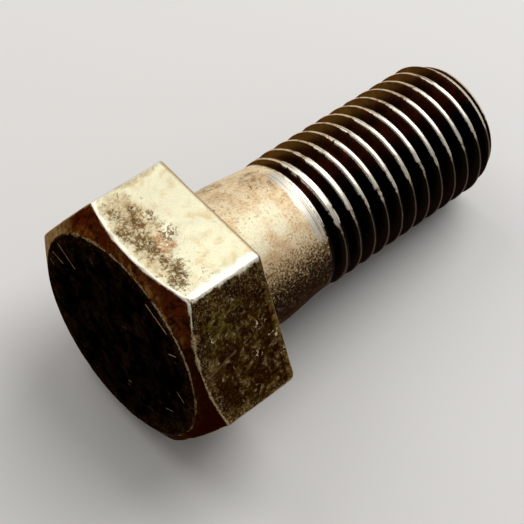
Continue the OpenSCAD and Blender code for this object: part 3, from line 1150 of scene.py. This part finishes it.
def shank_finish():
    """Tan steel, painted pale on the lit side and painted brown to near black as shade underneath, with
    dark flecks, painted cream highlights and a burnished band.
    """
    f = Finish("shank_steel", grain_size=0.3)
    rings = turned_rings(f, f.vector("MULTIPLY", f.place, TURNING_STRETCH))
    cloud = f.patches(size=2.2, seed=5, low=0.4, high=0.66)
    # Painted light and shade: pale towards the lit side, brown then near black as shade underneath, with
    # glints only in that shade
    uneven_side = f.shifted(f.turned_to(LIT_SIDE), by=f.grain, reach=1.5)
    low_shade = f.fall(uneven_side, low=0.26, high=0.52)
    under_shade = f.fall(uneven_side, low=0.04, high=0.3)
    # Painted highlight: cream patches where the lamp's reflection falls on the shank
    cream = f.spots(on_shank, SHANK_HIGHLIGHTS, ragged=1.4)
    glints = f.all_of(low_shade, f.patches(size=0.3, seed=19, low=0.54, high=0.64))
    brown = f.all_of(f.spots(on_shank, SHANK_PATCHES, ragged=2.3),
                     f.patches(size=0.7, seed=1, low=0.32, high=0.68))
    fleck = f.patches(size=0.42, seed=8, low=0.585, high=0.64)
    strays = f.step(fleck, low=0.95, high=1.0, end=0.25)
    flecks = f.all_of(f.any_of(f.spots(on_shank, SHANK_FLECKS, ragged=1.2), strays), fleck)
    border = f.patches(size=2.0, seed=4, low=0.2, high=0.8)
    past_border = f.math("SUBTRACT", f.along, f.math("MULTIPLY_ADD", border, BAND_WANDER, BAND_START))
    # Real burnished band, kept only where the lamp's highlight falls: painted highlight
    band = f.all_of(f.step(past_border, low=-0.1, high=0.2),
                    f.step(f.turned_to(HIGHLIGHT_SIDE), low=0.75, high=0.92))
    dull_grain = f.all_of(f.grain_above(low=0.46, high=0.7), f.blend(cream, outside=1.0, inside=0.4))
    colour = f.coats(
        f.mix(cloud, PALE_TAN, TAN_STEEL),
        (cream, 0.8, HIGHLIGHT_CREAM),
        (dull_grain, 0.5, DULL_BROWN),
        (brown, 0.7, DULL_BROWN),
        (flecks, 0.85, PIT_BROWN),
        (low_shade, 0.95, DULL_BROWN),
        (under_shade, 0.97, UNDER_SHADE_BROWN),
        (f.all_of(glints, f.blend(under_shade, outside=0.85, inside=0.2)), 1.0, PALE_TAN),
        (band, 0.94, BAND_STEEL),
        (f.all_of(band, f.step(rings, low=0.55, high=0.66)), 0.8, PIT_BROWN))
    rough = f.roughness(band, outside=0.48, inside=0.42, grit=0.18)
    metallic = f.any_of(f.blend(band, outside=0.35, inside=0.95), f.part_of(under_shade, 0.9))
    relief = f.math("SUBTRACT", f.part_of(f.grain, 0.7), f.part_of(flecks, 0.8))
    cuts = f.all_of(rings, f.blend(band, outside=0.12, inside=0.5))
    height = f.math("ADD", f.all_of(relief, f.rest(band)), cuts)
    return f.finish(colour, rough, metallic, height, depth=0.07, sheen=DULL_SHEEN)


# Bright part of the crests, as a distance from their middle line in millimetres: on the side of the painted
# highlight for the first, wide crests and along the rest of the thread, then for the lower side, narrowed
# as painted shade, and the upper side
FIRST_CRESTS_BRIGHT = 0.5
CRESTS_BRIGHT = (0.37, 0.31)
LOWER_CRESTS_BRIGHT = 0.08
UPPER_CRESTS_BRIGHT = 0.18

# Places along the axis where the first crests end, and where the bright part gets narrower, a painted
# dimming of the highlight towards the point
FIRST_CRESTS_END = (THREAD_START + 2.6, THREAD_START + 5.0)
CRESTS_NARROW = (22.0, 40.0)


def thread_finish():
    """Glossy black-brown flanks with a painted red and olive reflection on the upper side, bare crests
    painted bright as highlight on the lamp's side and dark as shade below, and a little dust.
    """
    f = Finish("thread_steel", grain_size=0.2)
    rings = turned_rings(f, f.vector("MULTIPLY", f.place, TURNING_STRETCH))
    cloud = f.patches(size=3.0, seed=2, low=0.5, high=0.72)
    red = f.patches(size=2.0, seed=11, low=0.4, high=0.65)
    patch = f.patches(size=1.1, seed=6, low=0.25, high=0.65)
    dust = f.patches(size=0.3, seed=4, low=0.69, high=0.73)
    # Painted highlight: crests bared wide, burnished and more metallic where they face the lamp's
    # reflection
    highlight = f.step(f.shifted(f.turned_to(HIGHLIGHT_SIDE), by=patch, reach=0.16), low=0.79, high=0.985)
    # Painted light and shade: crests tan on the lit upper side and dark below
    upper = f.step(f.turned_to(LIT_SIDE), low=0.15, high=0.65)
    reflection_facing = f.turned_to(REFLECTION_SIDE)
    later_crests = f.step(f.along, *CRESTS_NARROW, *CRESTS_BRIGHT)
    broad = f.blend(f.fall(f.along, *FIRST_CRESTS_END), outside=later_crests, inside=FIRST_CRESTS_BRIGHT)
    narrow = f.blend(upper, outside=LOWER_CRESTS_BRIGHT, inside=UPPER_CRESTS_BRIGHT)
    reach = f.shifted(f.blend(highlight, outside=narrow, inside=broad), by=f.grain, reach=0.12)
    crest = f.fall(f.math("SUBTRACT", f.mark("crest_gap"), reach), low=-0.04, high=0.03)
    patchy = f.step(patch, low=0.2, high=0.6, start=0.35, end=0.9)
    bare = f.all_of(crest, f.blend(highlight, outside=patchy, inside=1.0))
    bare_colour = f.mix(highlight, f.mix(upper, CREST_DARK, CREST_TAN), BURNISHED_HIGHLIGHT)
    # Painted reflection: the flanks turn red, in random patches, and olive towards the upper side
    red_reflection = f.all_of(f.blend(red, outside=0.4, inside=1.0), f.step(reflection_facing, low=0.15, high=0.75))
    olive_reflection = f.all_of(f.blend(cloud, outside=0.5, inside=1.0), f.step(reflection_facing, low=0.9, high=0.995))
    colour = f.coats(
        FLANK_BLACK,
        (red_reflection, 1.0, FLANK_RED),
        (olive_reflection, 1.0, FLANK_OLIVE),
        (dust, 0.6, WORN_TAN),
        (bare, 1.0, bare_colour),
        (f.all_of(crest, f.step(rings, low=0.55, high=0.68)), 0.75, PIT_BROWN))
    rough = f.roughness(crest, outside=0.26, inside=0.34, grit=0.14)
    metallic = f.blend(crest, outside=0.9, inside=f.blend(highlight, outside=0.4, inside=0.97))
    cuts = f.all_of(rings, f.blend(crest, outside=0.15, inside=0.5))
    height = f.math("ADD", f.part_of(f.grain, 0.35), cuts)
    return f.finish(colour, rough, metallic, height, depth=0.04, sheen=WARM_SHEEN)


# Worn rim of the end face: distances inside its edge where it starts and is full
RIM_START = 0.55
RIM_FULL = 0.1


def end_face_finish():
    """Dark turned end with fine rings, brown clouds and a worn rim."""
    f = Finish("end_face_steel", grain_size=0.3)
    cloud = f.patches(size=2.6, seed=13, low=0.42, high=0.66)
    specks = f.patches(size=0.4, seed=16, low=0.62, high=0.68)
    lines = end_scratches(f, slant=0.3, size=0.8, share=0.45)
    around = [f.part_of(way, END_RING_UNEVENNESS) for way in (f.across, f.up)]
    outwards = f.part_of(f.radius, END_RING_DENSITY)
    rings = turned_rings(f, f.add("ShaderNodeCombineXYZ", enumerate([outwards, *around])))
    rim = f.all_of(f.step(f.radius, low=POINT_RADIUS - RIM_START, high=POINT_RADIUS - RIM_FULL),
                   f.grain_above(low=0.4, high=0.6))
    colour = f.coats(
        f.mix(cloud, FLANK_BLACK, END_BROWN),
        (f.step(rings, low=0.5, high=0.72), 0.7, END_BROWN),
        (f.any_of(f.part_of(lines, 0.7), specks), 0.5, WORN_TAN),
        (rim, 0.6, WORN_TAN))
    rough = f.roughness(rim, outside=0.4, inside=0.34, grit=0.2)
    height = f.math("MULTIPLY_ADD", rings, 0.7, f.part_of(f.grain, 0.3))
    return f.finish(colour, rough, metallic=0.95, height=height, depth=0.05, sheen=WARM_SHEEN)


# In the order of the finishes' numbers
FINISHES = (
    head_face_finish, chamfer_finish, top_flat_finish, side_flat_finish,
    shank_finish, thread_finish, end_face_finish)

bolt = make_bolt([make() for make in FINISHES])
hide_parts("hex_bolt")
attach(bolt, "root")


# Stage, light and camera

FLOOR_SIZE = 6
FLOOR_COLOUR = tone(0.77, 0.755, 0.73)
FLOOR_ROUGHNESS = 0.8

# Lamps: name, place in metres, size in metres and power in watts
LAMPS = (("key", (0.36, 0.02, 0.5), 0.48, 2.8), ("back", (-0.02, 0.45, 0.45), 0.4, 1.0))
LAMP_TARGET = Vector((0, 0, 0.015))
SKY_COLOUR = tone(1.0, 0.985, 0.96)
SKY_STRENGTH = 0.28

# Camera: angles from the point that it looks at, in the bolt's own frame, and distance in millimetres
CAMERA_AZIMUTH = math.radians(-141.142)
CAMERA_ELEVATION = math.radians(52.694)
CAMERA_ROLL = math.radians(10.993)
CAMERA_DISTANCE = 180.62
CAMERA_AIM = Vector((8.403, -2.322, 0))

# Focal length and width of the picture in pixels, width of the sensor in millimetres, near limit in metres
FOCAL_PIXELS = 1425.81
PHOTO_PIXELS = 524
SENSOR_WIDTH = 36.0
NEAR_LIMIT = 0.01


def make_floor():
    bpy.ops.mesh.primitive_plane_add(size=FLOOR_SIZE)
    floor = bpy.context.object
    floor.name = "floor"
    material = bpy.data.materials.new("pale_floor")
    material.use_nodes = True
    shader = material.node_tree.nodes["Principled BSDF"]
    shader.inputs["Base Color"].default_value = FLOOR_COLOUR
    shader.inputs["Roughness"].default_value = FLOOR_ROUGHNESS
    floor.data.materials.append(material)


def make_lights():
    """Soft light from the upper back, and an even sky."""
    world = bpy.data.worlds.new("studio")
    bpy.context.scene.world = world
    world.use_nodes = True
    sky = world.node_tree.nodes["Background"]
    sky.inputs["Color"].default_value = SKY_COLOUR
    sky.inputs["Strength"].default_value = SKY_STRENGTH
    for name, place, size, power in LAMPS:
        data = bpy.data.lights.new(name, "AREA")
        data.energy = power
        data.size = size
        lamp = bpy.data.objects.new(name, data)
        bpy.context.collection.objects.link(lamp)
        lamp.location = place
        lamp.rotation_euler = (LAMP_TARGET - Vector(place)).to_track_quat("-Z", "Y").to_euler()


def make_camera():
    """Camera at the photograph's viewing angle, set in the bolt's own frame and laid down with it."""
    level = math.cos(CAMERA_ELEVATION)
    sideways = (level * math.cos(CAMERA_AZIMUTH), level * math.sin(CAMERA_AZIMUTH))
    back = Vector((*sideways, math.sin(CAMERA_ELEVATION)))
    right = Vector((0, 0, 1)).cross(back).normalized()
    up = back.cross(right)
    turned_right = right * math.cos(CAMERA_ROLL) + up * math.sin(CAMERA_ROLL)
    turned_up = up * math.cos(CAMERA_ROLL) - right * math.sin(CAMERA_ROLL)
    axes = Matrix((turned_right, turned_up, back)).transposed().to_4x4()
    place = Matrix.Translation(CAMERA_AIM + back * CAMERA_DISTANCE)
    data = bpy.data.cameras.new("photo_camera")
    data.sensor_fit = "HORIZONTAL"
    data.sensor_width = SENSOR_WIDTH
    data.lens = FOCAL_PIXELS / PHOTO_PIXELS * SENSOR_WIDTH
    data.clip_start = NEAR_LIMIT
    camera = bpy.data.objects.new("photo_camera", data)
    bpy.context.collection.objects.link(camera)
    world = LAY_DOWN @ place @ axes
    world.translation *= MM
    camera.matrix_world = world
    bpy.context.scene.camera = camera


make_floor()
make_lights()
make_camera()
bpy.context.scene.view_settings.view_transform = "Standard"
